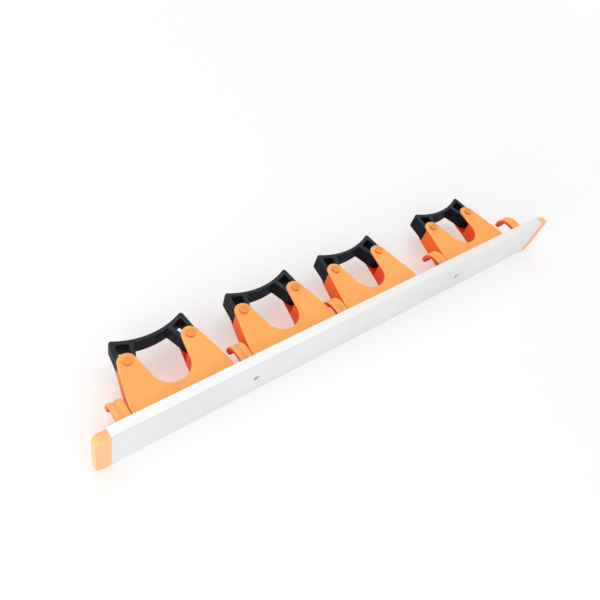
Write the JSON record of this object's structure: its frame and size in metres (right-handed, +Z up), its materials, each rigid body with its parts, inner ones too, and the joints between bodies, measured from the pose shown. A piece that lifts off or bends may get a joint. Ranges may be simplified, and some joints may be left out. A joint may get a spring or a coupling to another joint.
{
  "type": "wall mop holder rack",
  "caption": "Aluminium wall rail with sliding plastic holders whose hinged rubber jaws grip mop and broom handles, sliding hooks beside them and end caps.",
  "frame": {"origin": "centre of the rail's back face, on the wall plane", "axes": "+X along the rail, +Y out of the back face towards the wall, +Z up as the rack lies in the picture with its hooks turned down; hung on a wall it is turned half a turn about Y"},
  "size_m": [0.507, 0.0786, 0.0468],
  "materials": {
    "rail_aluminium": "satin anodised extrusion",
    "cap_plastic": "moulded orange plastic",
    "holder_plastic": "moulded orange plastic, soft sheen",
    "pin_plastic": "moulded orange plastic",
    "hook_plastic": "moulded orange plastic, soft sheen",
    "grip_rubber": "black extruded rubber, slightly glossy"
  },
  "bodies": {
    "rail": {"rail": "rail_aluminium", "end_cap_left": "cap_plastic", "end_cap_right": "cap_plastic"},
    "holder_1": {"holder_1": "holder_plastic", "pivot_pin_left_1": "pin_plastic", "pivot_pin_right_1": "pin_plastic"},
    "jaw_left_1": {"grip_jaw_left_1": "grip_rubber"},
    "web_left_1": {"grip_web_left_1": "grip_rubber"},
    "jaw_right_1": {"grip_jaw_right_1": "grip_rubber"},
    "web_right_1": {"grip_web_right_1": "grip_rubber"},
    "holder_2": {"holder_2": "holder_plastic", "pivot_pin_left_2": "pin_plastic", "pivot_pin_right_2": "pin_plastic"},
    "jaw_left_2": {"grip_jaw_left_2": "grip_rubber"},
    "web_left_2": {"grip_web_left_2": "grip_rubber"},
    "jaw_right_2": {"grip_jaw_right_2": "grip_rubber"},
    "web_right_2": {"grip_web_right_2": "grip_rubber"},
    "holder_3": {"holder_3": "holder_plastic", "pivot_pin_left_3": "pin_plastic", "pivot_pin_right_3": "pin_plastic"},
    "jaw_left_3": {"grip_jaw_left_3": "grip_rubber"},
    "web_left_3": {"grip_web_left_3": "grip_rubber"},
    "jaw_right_3": {"grip_jaw_right_3": "grip_rubber"},
    "web_right_3": {"grip_web_right_3": "grip_rubber"},
    "holder_4": {"holder_4": "holder_plastic", "pivot_pin_left_4": "pin_plastic", "pivot_pin_right_4": "pin_plastic"},
    "jaw_left_4": {"grip_jaw_left_4": "grip_rubber"},
    "web_left_4": {"grip_web_left_4": "grip_rubber"},
    "jaw_right_4": {"grip_jaw_right_4": "grip_rubber"},
    "web_right_4": {"grip_web_right_4": "grip_rubber"},
    "hook_1": {"hook_1": "hook_plastic"},
    "hook_2": {"hook_2": "hook_plastic"},
    "hook_3": {"hook_3": "hook_plastic"},
    "hook_4": {"hook_4": "hook_plastic"},
    "hook_5": {"hook_5": "hook_plastic"}
  },
  "joints": [
    {"name": "holder_1_slide", "type": "slide", "parent": "rail", "child": "holder_1", "axis": [1, 0, 0], "range_m": [-0.00899, 0]},
    {"name": "jaw_left_1_swing", "type": "hinge", "parent": "holder_1", "child": "jaw_left_1", "pos_m": [-0.18672, -0.0548, 0], "axis": [0, 0, 1], "range_deg": [0, 40], "stiffness_Nm_per_rad": 0.06},
    {"name": "web_left_1_bend", "type": "hinge", "parent": "jaw_left_1", "child": "web_left_1", "pos_m": [-0.16323, -0.06335, 0], "axis": [0, 0, 1], "range_deg": [-40, 0], "deforming": ["grip_web_left_1"]},
    {"name": "jaw_right_1_swing", "type": "hinge", "parent": "holder_1", "child": "jaw_right_1", "pos_m": [-0.13272, -0.0548, 0], "axis": [0, 0, 1], "range_deg": [-40, 0], "stiffness_Nm_per_rad": 0.06},
    {"name": "web_right_1_bend", "type": "hinge", "parent": "jaw_right_1", "child": "web_right_1", "pos_m": [-0.15621, -0.06335, 0], "axis": [0, 0, 1], "range_deg": [0, 40], "deforming": ["grip_web_right_1"]},
    {"name": "holder_2_slide", "type": "slide", "parent": "rail", "child": "holder_2", "axis": [1, 0, 0], "range_m": [-0.01596, 0]},
    {"name": "jaw_left_2_swing", "type": "hinge", "parent": "holder_2", "child": "jaw_left_2", "pos_m": [-0.0564, -0.0548, 0], "axis": [0, 0, 1], "range_deg": [0, 40], "stiffness_Nm_per_rad": 0.06},
    {"name": "web_left_2_bend", "type": "hinge", "parent": "jaw_left_2", "child": "web_left_2", "pos_m": [-0.03291, -0.06335, 0], "axis": [0, 0, 1], "range_deg": [-40, 0], "deforming": ["grip_web_left_2"]},
    {"name": "jaw_right_2_swing", "type": "hinge", "parent": "holder_2", "child": "jaw_right_2", "pos_m": [-0.0024, -0.0548, 0], "axis": [0, 0, 1], "range_deg": [-40, 0], "stiffness_Nm_per_rad": 0.06},
    {"name": "web_right_2_bend", "type": "hinge", "parent": "jaw_right_2", "child": "web_right_2", "pos_m": [-0.02589, -0.06335, 0], "axis": [0, 0, 1], "range_deg": [0, 40], "deforming": ["grip_web_right_2"]},
    {"name": "holder_3_slide", "type": "slide", "parent": "rail", "child": "holder_3", "axis": [1, 0, 0], "range_m": [-0.00103, 0]},
    {"name": "jaw_left_3_swing", "type": "hinge", "parent": "holder_3", "child": "jaw_left_3", "pos_m": [0.04407, -0.0548, 0], "axis": [0, 0, 1], "range_deg": [0, 40], "stiffness_Nm_per_rad": 0.06},
    {"name": "web_left_3_bend", "type": "hinge", "parent": "jaw_left_3", "child": "web_left_3", "pos_m": [0.06756, -0.06335, 0], "axis": [0, 0, 1], "range_deg": [-40, 0], "deforming": ["grip_web_left_3"]},
    {"name": "jaw_right_3_swing", "type": "hinge", "parent": "holder_3", "child": "jaw_right_3", "pos_m": [0.09807, -0.0548, 0], "axis": [0, 0, 1], "range_deg": [-40, 0], "stiffness_Nm_per_rad": 0.06},
    {"name": "web_right_3_bend", "type": "hinge", "parent": "jaw_right_3", "child": "web_right_3", "pos_m": [0.07458, -0.06335, 0], "axis": [0, 0, 1], "range_deg": [0, 40], "deforming": ["grip_web_right_3"]},
    {"name": "holder_4_slide", "type": "slide", "parent": "rail", "child": "holder_4", "axis": [1, 0, 0], "range_m": [-0.00294, 0]},
    {"name": "jaw_left_4_swing", "type": "hinge", "parent": "holder_4", "child": "jaw_left_4", "pos_m": [0.14836, -0.0548, 0], "axis": [0, 0, 1], "range_deg": [0, 40], "stiffness_Nm_per_rad": 0.06},
    {"name": "web_left_4_bend", "type": "hinge", "parent": "jaw_left_4", "child": "web_left_4", "pos_m": [0.17185, -0.06335, 0], "axis": [0, 0, 1], "range_deg": [-40, 0], "deforming": ["grip_web_left_4"]},
    {"name": "jaw_right_4_swing", "type": "hinge", "parent": "holder_4", "child": "jaw_right_4", "pos_m": [0.20236, -0.0548, 0], "axis": [0, 0, 1], "range_deg": [-40, 0], "stiffness_Nm_per_rad": 0.06},
    {"name": "web_right_4_bend", "type": "hinge", "parent": "jaw_right_4", "child": "web_right_4", "pos_m": [0.17886, -0.06335, 0], "axis": [0, 0, 1], "range_deg": [0, 40], "deforming": ["grip_web_right_4"]},
    {"name": "hook_1_slide", "type": "slide", "parent": "rail", "child": "hook_1", "axis": [1, 0, 0], "range_m": [-0.00859, 0.00899]},
    {"name": "hook_2_slide", "type": "slide", "parent": "rail", "child": "hook_2", "axis": [1, 0, 0], "range_m": [0, 0.01596]},
    {"name": "hook_3_slide", "type": "slide", "parent": "rail", "child": "hook_3", "axis": [1, 0, 0], "range_m": [0, 0.00103]},
    {"name": "hook_4_slide", "type": "slide", "parent": "rail", "child": "hook_4", "axis": [1, 0, 0], "range_m": [0, 0.00294]},
    {"name": "hook_5_slide", "type": "slide", "parent": "rail", "child": "hook_5", "axis": [1, 0, 0], "range_m": [0, 0.01074]}
  ],
  "couplings": [
    {"joint": "jaw_right_1_swing", "follows": "jaw_left_1_swing", "ratio": -1},
    {"joint": "web_left_1_bend", "follows": "jaw_left_1_swing", "ratio": -1},
    {"joint": "web_right_1_bend", "follows": "jaw_left_1_swing", "ratio": 1},
    {"joint": "jaw_right_2_swing", "follows": "jaw_left_2_swing", "ratio": -1},
    {"joint": "web_left_2_bend", "follows": "jaw_left_2_swing", "ratio": -1},
    {"joint": "web_right_2_bend", "follows": "jaw_left_2_swing", "ratio": 1},
    {"joint": "jaw_right_3_swing", "follows": "jaw_left_3_swing", "ratio": -1},
    {"joint": "web_left_3_bend", "follows": "jaw_left_3_swing", "ratio": -1},
    {"joint": "web_right_3_bend", "follows": "jaw_left_3_swing", "ratio": 1},
    {"joint": "jaw_right_4_swing", "follows": "jaw_left_4_swing", "ratio": -1},
    {"joint": "web_left_4_bend", "follows": "jaw_left_4_swing", "ratio": -1},
    {"joint": "web_right_4_bend", "follows": "jaw_left_4_swing", "ratio": 1}
  ]
}
